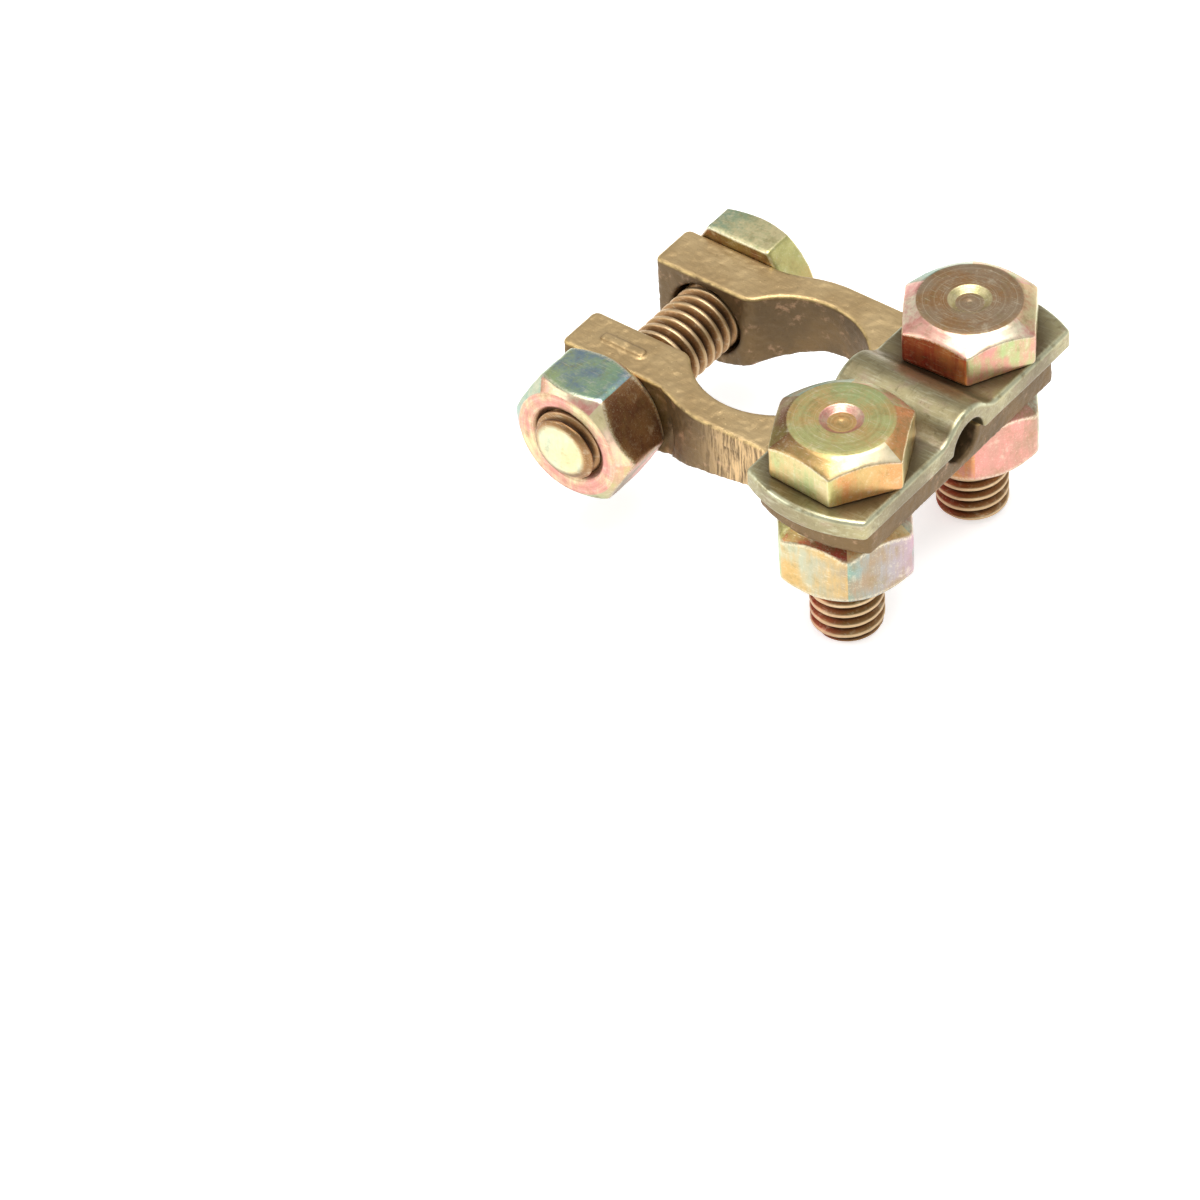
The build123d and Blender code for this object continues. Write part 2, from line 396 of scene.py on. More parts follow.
def cast_brass():
    """Brass from a sand mould, ground flat on its top."""
    material, bench, place = new_material("cast_brass")
    x = bench.node("ShaderNodeSeparateXYZ", sockets={0: place})
    to_left = -x.other("Y")
    ground = bench.kept("ground")
    rim = bench.kept("rim")
    inner = bench.kept("inner")
    broad = bench.grain(place, 0.16, 3.0, 0.5, 1.0)
    lumps = bench.grain(place, 0.8, 4.0, 0.6, 2.0)
    fine = bench.grain(place, 4.5, 4.0, 0.65, 4.0)
    lines = bench.grain(bench.stretched(place, (0.6, 6.0, 6.0)), 1.0, 3.0, 0.6, 5.0)
    upright = bench.grain(bench.stretched(place, (3.0, 3.0, 0.25)), 1.0, 3.0, 0.65, 6.0)
    nicks = bench.grain(place, 2.0, 3.0, 0.7, 7.0)
    rubbed = x.rise(-2.0, 4.0) * x.rise(9.4, 8.6) * to_left.rise(11.0, 12.6)
    low_edge = x.other("Z").rise(3.2, 1.2) * to_left.rise(10.0, 12.0)
    skin_layers = [
        (inner * 0.6, BRASS["inner skin"]),
        (lumps.rise(0.54, 0.74) * 0.8, BRASS["skin spot"]),
        (fine.rise(0.55, 0.8) * 0.5, BRASS["skin pit"]),
        (rubbed * upright.rise(0.36, 0.6) * 0.85, BRASS["rubbed"]),
        (low_edge * lumps.rise(0.4, 0.6) * 0.6, BRASS["low edge"]),
    ]
    face_layers = [
        (lines.rise(0.45, 0.75) * 0.5, BRASS["face line"]),
        (fine.rise(0.58, 0.82) * 0.5, BRASS["face pit"]),
        (fine.rise(0.42, 0.2) * 0.4, BRASS["face glint"]),
        (nicks.rise(0.62, 0.7) * 0.6, BRASS["nick"]),
        (nicks.rise(0.38, 0.3) * 0.5, BRASS["dent"]),
    ]
    skin = bench.blend(broad.rise(0.35, 0.65), BRASS["skin"], BRASS["pale skin"])
    face = bench.blend(broad.rise(0.3, 0.7), BRASS["face"], BRASS["pale face"])
    colour = bench.blend(ground, bench.layered(skin, skin_layers), bench.layered(face, face_layers))
    # The rims are lighter: worn brass, with a painted highlight along them.
    edge = 1.0 - rim.rise(0.04, 0.42)
    colour = bench.blend(edge * lumps.rise(0.3, 0.55) * 0.8, colour, BRASS["edge"])
    roughness = 0.5 - ground * 0.12 + (fine - 0.5) * 0.2 - edge * 0.08
    height = fine * (1.0 - ground * 0.6) + lines * ground * 0.3 + nicks * ground * 0.5
    metal(bench, colour, roughness, height, 0.05, 0.8)
    return material


STEEL = {
    "zinc": paint(140, 130, 98),
    "pale zinc": paint(172, 162, 122),
    "patch": paint(170, 146, 128),
    "scratch": paint(198, 196, 166),
    "mark": paint(110, 100, 74),
    "pit": paint(106, 96, 70),
    "stain": paint(104, 92, 62),
    "rubbed": paint(206, 202, 170),
    # Brown for painted contact shadow and grime near the bolt heads and the hump.
    "shade": paint(92, 76, 54),
    "edge": paint(214, 216, 182),
}


def saddle_steel():
    """Pressed steel with a thin olive chromate, scratched where it has rubbed."""
    material, bench, place = new_material("saddle_steel")
    edge = 1.0 - bench.kept("rim").rise(0.08, 0.6)
    broad = bench.grain(place, 0.16, 3.0, 0.5, 11.0)
    patches = bench.grain(place, 0.5, 3.0, 0.6, 14.0)
    fine = bench.grain(place, 4.0, 4.0, 0.65, 12.0)
    lines = bench.grain(bench.stretched(place, (0.4, 3.4, 3.4)), 1.0, 3.0, 0.6, 13.0)
    across = bench.grain(bench.stretched(place, (4.0, 0.5, 4.0)), 1.0, 3.0, 0.6, 15.0)
    stains = bench.grain(place, 0.9, 4.0, 0.68, 17.0)
    layers = [
        (patches.rise(0.5, 0.68) * 0.5, STEEL["patch"]),
        (lines.rise(0.48, 0.72) * 0.6, STEEL["scratch"]),
        (across.rise(0.56, 0.72) * 0.5, STEEL["mark"]),
        (fine.rise(0.58, 0.82) * 0.5, STEEL["pit"]),
        (stains.rise(0.52, 0.72) * 0.5, STEEL["stain"]),
        (stains.rise(0.46, 0.3) * 0.4, STEEL["rubbed"]),
        # Painted contact shadow and grime: darker and browner round the bolt heads and beside the hump.
        (bench.kept("sheltered") * 0.75, STEEL["shade"]),
        (edge * patches.rise(0.3, 0.5) * 0.75, STEEL["edge"]),
    ]
    zinc = bench.blend(broad.rise(0.35, 0.65), STEEL["zinc"], STEEL["pale zinc"])
    roughness = 0.34 + (fine - 0.5) * 0.2
    height = fine * 0.5 + lines * 0.5 + across * 0.3
    metal(bench, bench.layered(zinc, layers), roughness, height, 0.025, 0.85)
    return material


# The casting


def bow_radius(half_length, bow):
    """The radius of an arc over a straight line, from half the line and the arc's rise."""
    return (half_length**2 + bow**2) / (2 * bow)


PLATFORM_HALF_LENGTH = 7.1
PLATFORM_HALF_WIDTH = 18.0
PLATFORM_END_BOW = 1.7
PLATFORM_RADIUS = bow_radius(PLATFORM_HALF_LENGTH, PLATFORM_END_BOW)
PLATFORM_BOTTOM = 7.0
CASTING_STEP = 0.26
CASTING_LOW = (-21.0, -18.6, -0.6)
CASTING_HIGH = (24.0, 18.6, 11.9)

# The underside's corners from the ears to the platform, each as its X and its Z
FOOT_END = (-12.0, 0.0)
BEND = (-1.5, 3.5)
STEP_FOOT = (7.2, 5.0)
STEP_HEAD = (7.8, PLATFORM_BOTTOM)

casting_sizes = {
    "height": 11.0,
    "bore top radius": 9.3,
    "bore widening": 1 / 18,
    "ring radius": 13.0,
    "slot half width": 5.1,
    "ear face": 11.1,
    "ear tip": 20.4,
    "ear blend": 9.0,
    "upright edge round": 0.8,
    "top edge round": 0.38,
    "bottom edge round": 0.55,
    "hole edge round": 0.36,
    "pinch back": 13.8,
    "pinch height": 5.5,
    "hole radius": 4.4,
    "seat radius": 8.525,
    "seat edge round": 0.1,
    "shoulder end": 11.2,
    "shoulder half width": 13.0,
    "platform middle": 16.3,
    "platform half length": PLATFORM_HALF_LENGTH,
    "platform arc start": PLATFORM_HALF_WIDTH - PLATFORM_RADIUS,
    "platform arc radius": PLATFORM_RADIUS,
    "platform blend": 2.5,
    "platform corner round": 0.5,
    "bolt reach": 16.4,
    "bolt side": 11.284,
    "groove radius": 2.7,
    "mark reach": 14.4,
    "mark side": 8.1,
    "mark half length": 2.8,
    "mark half width": 0.65,
    "mark height": 0.28,
    "mark corner round": 0.5,
    "mark top round": 0.25,
    "mark foot round": 0.2,
    "skin depth": 0.06,
}


def under_line(x, z, start, end):
    """How far a point lies under the line through two corners, negative above it."""
    slope = (end[1] - start[1]) / (end[0] - start[0])
    return (start[1] - z + (x - start[0]) * slope) / math.hypot(1.0, slope)


def make_casting(material):
    """The split ring with its ears and platform."""
    bench, size = new_shape("casting", casting_sizes)
    place, x, y, z = place_parts(bench)
    side = abs(y)
    from_axis = x.across(y)
    ring = from_axis - size["ring radius"]
    ear_end = -x - size["ear tip"]
    ear = shared(ear_end, side - size["ear face"], size["upright edge round"]).most(x)
    blend_side = size["ear face"] + size["ear blend"]
    blend_span = size["ring radius"] + size["ear blend"]
    blend_back = bench.maths("SQRT", blend_span * blend_span - blend_side * blend_side)
    from_blend_x = x + blend_back
    from_blend_y = side - blend_side
    hollow = size["ear blend"] - from_blend_x.across(from_blend_y)
    past_ring = (from_blend_x * blend_side + from_blend_y * blend_back) / blend_span
    web = hollow.most(-from_blend_x).most(past_ring)
    shoulder = (side - size["shoulder half width"]).most(x - size["shoulder end"]).most(-x)
    from_middle = x - size["platform middle"]
    past_arc = (side - size["platform arc start"]).most(0.0)
    arc = from_middle.across(past_arc) - size["platform arc radius"]
    straight = abs(from_middle) - size["platform half length"]
    platform = shared(straight, arc, size["platform corner round"])
    plan = ring.least(ear).least(web).least(joined(shoulder, platform, size["platform blend"]))
    slot = (side - size["slot half width"]).most(x)
    plan = cut(plan, slot, size["upright edge round"])
    bore_radius = size["bore top radius"] + (size["height"] - z) * size["bore widening"]
    from_bore = from_axis - bore_radius
    plan = cut(plan, from_bore, size["upright edge round"])
    form = shared(plan, z - size["height"], size["top edge round"])
    form = shared(form, -z, size["bottom edge round"])
    first_rise = under_line(x, z, FOOT_END, BEND)
    second_rise = under_line(x, z, BEND, STEP_FOOT)
    rise = first_rise.least(second_rise).least(STEP_FOOT[0] - x)
    form = shared(form, rise, size["bottom edge round"])
    step = under_line(x, z, STEP_HEAD, STEP_FOOT).least(PLATFORM_BOTTOM - z)
    form = shared(form, step, size["bottom edge round"])
    from_pinch = (x + size["pinch back"]).across(z - size["pinch height"])
    form = cut(form, from_pinch - size["hole radius"], size["hole edge round"])
    from_bolt = (x - size["bolt reach"]).across(side - size["bolt side"])
    form = cut(form, from_bolt - size["hole radius"], size["hole edge round"])
    groove = (y.across(z - size["height"]) - size["groove radius"]).most(-x)
    form = cut(form, groove, size["hole edge round"])
    seat = (from_pinch - size["seat radius"]).most(size["ear face"] - side)
    form = cut(form, seat, size["seat edge round"])
    mark_x = abs(x + size["mark reach"]) - size["mark half length"]
    mark_y = abs(y + size["mark side"]) - size["mark half width"]
    mark_z = z - size["height"] - size["mark height"]
    mark = shared(shared(mark_x, mark_y, size["mark corner round"]), mark_z, size["mark top round"])
    form = joined(form, mark, size["mark foot round"])
    mesh = surface_of(bench, form, CASTING_LOW, CASTING_HIGH, CASTING_STEP)
    normal = bench.node("GeometryNodeInputNormal")
    upward = bench.node("ShaderNodeSeparateXYZ", sockets={0: normal}, output="Z")
    ground = upward.rise(0.75, 0.95) * z.rise(10.7, 10.95)
    mesh = kept_on(bench, mesh, "ground", ground)
    rim = -(plan.most(-groove).least(z - size["height"]))
    mesh = kept_on(bench, mesh, "rim", rim)
    in_slot = (size["slot half width"] + 0.6 - side).most(-3.0) * x.rise(-6.0, -8.0)
    mesh = kept_on(bench, mesh, "inner", (-from_bore).most(in_slot).rise(-0.9, -0.2))
    coarse = bench.grain(place, 0.55, 3.0, 0.6, 21.0)
    lumps = bench.grain(place, 1.5, 2.0, 0.5, 22.0)
    skin = (coarse - 0.5) * 1.6 + lumps.rise(0.55, 0.8) - lumps.rise(0.55, 0.35)
    mesh = pushed(bench, mesh, skin * size["skin depth"] * rim.rise(0.1, 1.0))
    finished(bench, mesh, material)
    return baked(bench, casting_sizes)


# The saddle plate

PLATE_HALF_LENGTH = 7.55
PLATE_HALF_WIDTH = 20.2
PLATE_END_BOW = 2.0
PLATE_RADIUS = bow_radius(PLATE_HALF_LENGTH, PLATE_END_BOW)
PLATE_STEP = 0.17
PLATE_LOW = (8.6, -20.7, 10.5)
PLATE_HIGH = (24.9, 20.7, 16.0)

plate_sizes = {
    "bottom": casting_sizes["height"],
    "thickness": 2.3,
    "middle": 16.75,
    "half length": PLATE_HALF_LENGTH,
    "arc start": PLATE_HALF_WIDTH - PLATE_RADIUS,
    "arc radius": PLATE_RADIUS,
    "upright edge round": 0.4,
    "top edge round": 0.55,
    "bottom edge round": 0.3,
    "cable radius": 2.7,
    "hump wall": 1.7,
    "hump foot round": 0.9,
    "bolt reach": casting_sizes["bolt reach"],
    "bolt side": casting_sizes["bolt side"],
    "hole radius": 4.4,
    "wave": 0.03,
}


def make_plate(material):
    """The strap over the cable, with its hump."""
    bench, size = new_shape("saddle plate", plate_sizes)
    place, x, y, z = place_parts(bench)
    side = abs(y)
    from_middle = x - size["middle"]
    past_arc = (side - size["arc start"]).most(0.0)
    arc = from_middle.across(past_arc) - size["arc radius"]
    plan = shared(abs(from_middle) - size["half length"], arc, size["upright edge round"])
    from_cable = y.across(z - size["bottom"])
    top = z - size["bottom"] - size["thickness"]
    hump = from_cable - size["cable radius"] - size["hump wall"]
    upper = joined(top, hump, size["hump foot round"])
    form = shared(plan, upper, size["top edge round"])
    form = shared(form, size["bottom"] - z, size["bottom edge round"])
    form = cut(form, from_cable - size["cable radius"], size["bottom edge round"])
    from_bolt = (x - size["bolt reach"]).across(side - size["bolt side"])
    form = cut(form, from_bolt - size["hole radius"], size["bottom edge round"])
    mesh = surface_of(bench, form, PLATE_LOW, PLATE_HIGH, PLATE_STEP)
    mesh = kept_on(bench, mesh, "rim", -(plan.least(upper)))
    # Painted contact shadow and grime round the bolt holes and beside the hump, stored for the material.
    mesh = kept_on(bench, mesh, "sheltered", from_bolt.rise(9.8, 7.2) + from_cable.rise(6.0, 4.6) * 0.4)
    wave = bench.grain(place, 0.35, 2.0, 0.5, 31.0)
    mesh = pushed(bench, mesh, (wave - 0.7) * size["wave"])
    finished(bench, mesh, material)
    return baked(bench, plate_sizes)


# Threaded shanks

SCREW_SIDES = 96
SCREW_ROWS_PER_MM = 9
SCREW_FACE_RADIUS = 3.1
SCREW_FACE_DEPTH = 0.2

screw_sizes = {
    "crest radius": 3.96,
    "root radius": 3.2,
    "pitch": 25.4 / 18,
    "end radius": 3.2,
    "end length": 0.9,
    "end dome": 0.15,
}


def make_screw(material, length, start):
    """A threaded shank along Z with its bare end at nought, its thread turned on by a share of a pitch."""
    sizes = {**screw_sizes, "length": length, "start": start}
    bench, size = new_shape("screw", sizes)
    sockets = {"Vertices": SCREW_SIDES, "Side Segments": round(length * SCREW_ROWS_PER_MM), "Fill Segments": 6}
    sockets.update({"Radius": 1.0, "Depth": size["length"]})
    mesh = bench.node("GeometryNodeMeshCylinder", {"fill_type": "TRIANGLE_FAN"}, sockets)
    _, x, y, z = place_parts(bench)
    share = x.across(y)
    height = z + size["length"] * 0.5
    turn = bench.maths("ARCTAN2", y, x) / (2 * math.pi)
    phase = bench.maths("FRACT", height / size["pitch"] - turn + size["start"])
    tooth = 1.0 - abs(phase * 2.0 - 1.0)
    crest = tooth.rise(0.1, 0.8)
    depth = size["crest radius"] - size["root radius"]
    thread = size["root radius"] + crest * depth
    cone = size["end radius"] + height * ((size["crest radius"] - size["end radius"]) / size["end length"])
    reach = thread.least(cone)
    dome = share * share * size["end dome"] * (1.0 - height.rise(0.0, 0.4))
    sideways = {0: bench.node("ShaderNodeCombineXYZ", sockets={"X": x, "Y": y}), "Scale": reach}
    flat = bench.node("ShaderNodeVectorMath", {"operation": "SCALE"}, sideways)
    lifted = bench.node("ShaderNodeCombineXYZ", sockets={"Z": height + dome})
    moved = bench.node("ShaderNodeVectorMath", {"operation": "ADD"}, {0: flat, 1: lifted})
    on_side = share.rise(0.97, 0.99)
    mesh = kept_on(bench, mesh, "crest", (reach - size["root radius"]) / depth * on_side)
    mesh = kept_on(bench, mesh, "threaded", on_side * height.rise(0.0, 0.6))
    mesh = bench.node("GeometryNodeSetPosition", sockets={"Geometry": mesh, "Position": moved})
    finished(bench, mesh, material)
    return baked(bench, sizes)


def store_colours(mesh, mains, accents):
    """Stores two colours at each point of a mesh."""
    for label, colours in (("main", mains), ("accent", accents)):
        stored = mesh.attributes.new(label, "FLOAT_COLOR", "POINT")
        stored.data.foreach_set("color", [part for colour in colours for part in colour])


def paint_screw(mesh, look):
    """Colours a shank: one colour all round, another on its left in the picture, and two on its end."""
    plain, left, end, end_accent = look
    mains, accents = [], []
    for point in mesh.vertices:
        toward = max(0.0, math.cos(math.atan2(point.co.y, point.co.x) - LEFT_IN_PICTURE))
        from_axis = math.hypot(point.co.x, point.co.y)
        on_end = point.co.z < SCREW_FACE_DEPTH * MM and from_axis < SCREW_FACE_RADIUS * MM
        mains.append(PALETTE[end] if on_end else mixed(plain, left, toward))
        accents.append(PALETTE[end_accent] if on_end else mixed(plain, left, toward * 0.6))
    store_colours(mesh, mains, accents)


# Hexagon heads and nuts, made of rings of points

SIDE_STEPS = 22
CORNER_CROWDING = 0.13
ACROSS_FLATS = 13.9
CORNER_REACH = ACROSS_FLATS / math.sqrt(3)
HEAD_HEIGHT = 5.3
HEAD_FACE_RADIUS = 5.65
HEAD_CORNER_DROP = 1.6
HEAD_CORNER_ROUND = 0.45
DIMPLE_DEPTH = 0.5
DIMPLE_FLOOR_RADIUS = 1.55
DIMPLE_WALL_WIDTH = 0.7
NUT_HEIGHT = 8.0
NUT_FACE_RADIUS = 6.3
NUT_CORNER_DROP = 1.5
NUT_CORNER_ROUND = 1.3
NUT_BORE_RADIUS = 4.019
SINK_RADIUS = 4.75
SINK_DEPTH = 0.72
FLAT_WAVE = 0.05
ROUND_ZONES = ("floor", "wall", "face", "under", "bore")
LATHED_ZONES = ("floor", "wall", "face")


def hexagon_angles():
    """Angles round a hexagon, closer together near its corners, which are at nought and each sixth."""
    steps = [(sector, step / SIDE_STEPS) for sector in range(6) for step in range(SIDE_STEPS)]
    crowded = [(sector, share - CORNER_CROWDING * math.sin(2 * math.pi * share)) for sector, share in steps]
    return [SIXTH * (sector + share) for sector, share in crowded]


def hexagon_reach(angle, corner_round):
    """How far the rounded hexagon reaches at an angle."""
    apothem = ACROSS_FLATS / 2
    from_flat = abs(angle % SIXTH - SIXTH / 2)
    inner = apothem - corner_round
    if apothem * math.tan(from_flat) <= inner * math.tan(SIXTH / 2):
        return apothem / math.cos(from_flat)
    from_corner = SIXTH / 2 - from_flat
    middle = inner / math.cos(SIXTH / 2)
    off_axis = middle * math.sin(from_corner)
    return middle * math.cos(from_corner) + math.sqrt(corner_round**2 - off_axis**2)


ANGLES = hexagon_angles()
HEAD_REACHES = [hexagon_reach(angle, HEAD_CORNER_ROUND) for angle in ANGLES]
NUT_REACHES = [hexagon_reach(angle, NUT_CORNER_ROUND) for angle in ANGLES]


def round_ring(radius, height, zone):
    """A ring at one radius."""
    return [(radius, height)] * len(ANGLES), zone


def flat_ring(reaches, height, inset, zone):
    """A ring round the flats, drawn in by an inset."""
    return [(reach - inset, height) for reach in reaches], zone


def chamfer_ring(cone, share, zone, sink=0.0):
    """A ring on the cone between a round face and the flats, lowered by a sink to round the edge."""
    reaches, face_radius, face_height, drop = cone
    slope = drop / (CORNER_REACH - face_radius)
    outs = [(reach - face_radius) * share for reach in reaches]
    return [(face_radius + out, face_height - out * slope - sink) for out in outs], zone


def smooth_shares(count):
    """Numbers from 0 to 1 that crowd at both ends."""
    return [0.5 - 0.5 * math.cos(math.pi * step / count) for step in range(count + 1)]


def head_rings():
    """A bolt head's rings from the bottom of its dimple to the middle of its underside."""
    floor = HEAD_HEIGHT - DIMPLE_DEPTH
    rings = [round_ring(0.0, floor - 0.12, "floor"), round_ring(0.3, floor - 0.02, "floor")]
    rings += [round_ring(radius, floor, "floor") for radius in (0.8, 1.5)]
    for share in smooth_shares(6):
        radius = DIMPLE_FLOOR_RADIUS + DIMPLE_WALL_WIDTH * share
        rings.append(round_ring(radius, floor + DIMPLE_DEPTH * share, "wall"))
    rings += [round_ring(radius, HEAD_HEIGHT, "face") for radius in (2.4, 3.0, 3.6, 4.3, 4.9)]
    rings.append(round_ring(HEAD_FACE_RADIUS - 0.3, HEAD_HEIGHT, "face"))
    rings.append(round_ring(HEAD_FACE_RADIUS - 0.1, HEAD_HEIGHT - 0.04, "face"))
    cone = (HEAD_REACHES, HEAD_FACE_RADIUS, HEAD_HEIGHT, HEAD_CORNER_DROP)
    rings += [chamfer_ring(cone, share, "chamfer") for share in (0.04, 0.25, 0.5, 0.75, 0.93)]
    rings += [chamfer_ring(cone, 0.99, "border", 0.05), chamfer_ring(cone, 1.0, "flat", 0.22)]
    rings += [flat_ring(HEAD_REACHES, level, 0.0, "flat") for level in (2.8, 2.0, 1.2, 0.6)]
    rings += [flat_ring(HEAD_REACHES, 0.32, 0.03, "flat"), flat_ring(HEAD_REACHES, 0.1, 0.14, "border")]
    rings += [flat_ring(HEAD_REACHES, 0.0, 0.4, "under"), round_ring(4.4, 0.0, "under")]
    rings.append(round_ring(0.0, 0.0, "under"))
    return rings


def nut_end(height, chamfer, upward):
    """The rings of one end of a nut, from its bore out to the edge of its flats."""
    rings = [round_ring(NUT_BORE_RADIUS, height - SINK_DEPTH * upward, "bore")]
    rings.append(round_ring(SINK_RADIUS, height - 0.04 * upward, "face"))
    rings += [round_ring(radius, height, "face") for radius in (SINK_RADIUS + 0.2, NUT_FACE_RADIUS - 0.3)]
    rings.append(round_ring(NUT_FACE_RADIUS, height - 0.03 * upward, "face"))
    cone = (NUT_REACHES, NUT_FACE_RADIUS, height, NUT_CORNER_DROP * upward)
    rings += [chamfer_ring(cone, share, chamfer, 0.03 * upward) for share in (0.12, 0.35, 0.6, 0.84)]
    rings.append(chamfer_ring(cone, 0.985, "border", 0.14 * upward))
    rings.append(chamfer_ring(cone, 1.0, "flat", 0.5 * upward))
    return rings


def nut_rings():
    """A nut's rings from the bottom of its bore round its outside to the top of its bore."""
    lower = nut_end(0.0, "base", -1)
    upper = nut_end(NUT_HEIGHT, "chamfer", 1)
    levels = [NUT_HEIGHT * share for share in (0.32, 0.41, 0.5, 0.59, 0.68)]
    middle = [flat_ring(NUT_REACHES, level, 0.0, "flat") for level in levels]
    return lower + middle + upper[::-1]


# The colours of a sector that has no look of its own
OTHER_LOOKS = (
    ("stone", "rose", "pearl"),
    ("rose", "gold", "green"),
    ("pearl", "stone", "teal"),
    ("orange", "pearl", "mauve"),
    ("green", "stone", "gold"),
    ("gold", "rose", "teal"),
)


def look_at(looks, zone, index):
    """The main and the accent colour of a zone at a point of a ring."""
    if zone in ROUND_ZONES:
        first, second, accent = looks[zone]
        share = 0.5 + 0.5 * math.cos(ANGLES[index] - AWAY_IN_PICTURE)
        return mixed(first, second, share), PALETTE[accent]
    sector, step = divmod(index, SIDE_STEPS)
    first, second, accent = looks.get(zone, {}).get(sector, OTHER_LOOKS[sector])
    return mixed(first, second, step / SIDE_STEPS), PALETTE[accent]


def hexagon_mesh(name, material, rings, looks, closed, seed):
    """A mesh through rings of points, with the colours of each zone stored on it. A closed one has a bore."""
    count = len(ANGLES)
    points, mains, accents, borders, lathed = [], [], [], [], []
    for ring, zone in rings:
        for index, (radius, height) in enumerate(ring):
            angle = ANGLES[index]
            spot = Vector((math.cos(angle) * radius, math.sin(angle) * radius, height))
            depth = 0.0 if zone in ROUND_ZONES else FLAT_WAVE
            wave = noise.noise(spot * 0.9 + Vector((seed, 0.0, 0.0))) * depth
            grown = 1.0 + (wave - depth * 0.6) / max(radius, 1.0)
            points.append(Vector((spot.x * grown, spot.y * grown, spot.z)) * MM)
            main, accent = look_at(looks, "flat" if zone == "border" else zone, index)
            mains.append(main)
            accents.append(accent)
            borders.append(1.0 if zone == "border" else 0.0)
            lathed.append(radius + 0.2 if zone in LATHED_ZONES else 0.0)
    faces = []
    pairs = list(zip(range(len(rings)), range(1, len(rings))))
    if closed:
        pairs.append((len(rings) - 1, 0))
    for upper, lower in pairs:
        above = upper * count
        below = lower * count
        for index in range(count):
            after = (index + 1) % count
            faces.append((above + index, below + index, below + after, above + after))
    mesh = bpy.data.meshes.new(name)
    mesh.from_pydata(points, [], faces)
    mesh.polygons.foreach_set("use_smooth", [True] * len(faces))
    plain = [0.0] * len(points)
    for label, numbers in (("border", borders), ("lathed", lathed), ("crest", plain), ("threaded", plain)):
        stored = mesh.attributes.new(label, "FLOAT", "POINT")
        stored.data.foreach_set("value", numbers)
    store_colours(mesh, mains, accents)
    mesh.materials.append(material)
    return mesh


def joined_mesh(name, meshes):
    """Several meshes as one, with doubled points merged and faces turned outward."""
    work = bmesh.new()
    for mesh in meshes:
        part = bmesh.new()
        part.from_mesh(mesh)
        bmesh.ops.remove_doubles(part, verts=part.verts, dist=1e-7)
        bmesh.ops.recalc_face_normals(part, faces=part.faces)
        part.to_mesh(mesh)
        part.free()
        work.from_mesh(mesh)
    whole = meshes[0].copy()
    whole.name = name
    work.to_mesh(whole)
    work.free()
    return whole


def set_down(mesh, name, body, node, matrix):
    """A piece in its place, riding on its body and standing for its solid."""
    mesh.transform(matrix)
    piece = bpy.data.objects.new(name, mesh)
    bpy.context.scene.collection.objects.link(piece)
    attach(piece, body)
    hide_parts(node)


HERE = Matrix.Identity(4)
bolt_steel = chromate("bolt_steel", 41.0)
nut_steel = chromate("nut_steel", 53.0)

set_down(make_casting(cast_brass()), "brass_casting", "clamp", "clamp_body", HERE)
set_down(make_plate(saddle_steel()), "saddle_strap", "saddle", "saddle_plate", HERE)

SHANK_IN_HEAD = 1.0
CABLE_BOLT_LENGTH = 23.0
PINCH_BOLT_LENGTH = 31.4
LEFT_HEAD_TURN = -4.0
RIGHT_HEAD_TURN = 2.7
CABLE_NUT_TURN = 8.3
bolt_reach = casting_sizes["bolt reach"]
bolt_side = casting_sizes["bolt side"]
pinch_back = casting_sizes["pinch back"]
pinch_height = casting_sizes["pinch height"]
plate_top = plate_sizes["bottom"] + plate_sizes["thickness"]
ear_face = casting_sizes["ear face"]
nut_bottom = PLATFORM_BOTTOM - NUT_HEIGHT

# Each look is a first colour, a second one that it runs to round the axis, and an accent in streaks.
# A round zone runs from the side near the camera to the side away from it; the dimple walls use this for a
# painted highlight on their far side.
# Sectors 4 and 5 of an upright hexagon face the camera, the left flat and the right one.

right_head_looks = {
    "floor": ("stone", "stone", "bronze"),
    # Painted highlight on the dimple's far wall.
    "wall": ("stone", "lime", "straw"),
    "face": ("stone", "stone", "bronze"),
    "chamfer": {
        # The cream in chamfer sectors 4 and 5 is a painted highlight.
        3: ("rose", "rose", "cream"),
        4: ("rose", "cream", "rose"),
        5: ("cream", "rose", "cream"),
        0: ("rose", "gold", "straw"),
    },
    "flat": {
        3: ("lime", "gold", "red"),
        4: ("red", "orange", "red"),
        5: ("rose", "rose", "green"),
        0: ("rose", "straw", "green"),
    },
    "under": ("brown", "brown", "olive"),
}
left_head_looks = {
    "floor": ("gold", "orange", "gold"),
    # Painted highlight on the dimple's far wall.
    "wall": ("bronze", "cream", "rose"),
    "face": ("lime", "green", "gold"),
    "chamfer": {
        3: ("olive", "olive", "brown"),
        4: ("brown", "gold", "olive"),
        # Painted highlight: chamfer sector 5 runs from gold to cream.
        5: ("gold", "cream", "straw"),
        0: ("gold", "bronze", "orange"),
    },
    "flat": {
        3: ("gold", "lime", "teal"),
        4: ("gold", "straw", "green"),
        5: ("lime", "orange", "orange"),
        0: ("lime", "brown", "gold"),
    },
    "under": ("brown", "brown", "olive"),
}
pinch_head_looks = {
    "floor": ("gold", "gold", "orange"),
    # Painted highlight on the dimple's far wall.
    "wall": ("gold", "straw", "lime"),
    "face": ("lime", "green", "gold"),
    "chamfer": {4: ("pearl", "lime", "straw"), 5: ("straw", "gold", "lime")},
    "flat": {4: ("teal", "lime", "straw"), 5: ("lime", "gold", "lime")},
    "under": ("brown", "brown", "olive"),
}
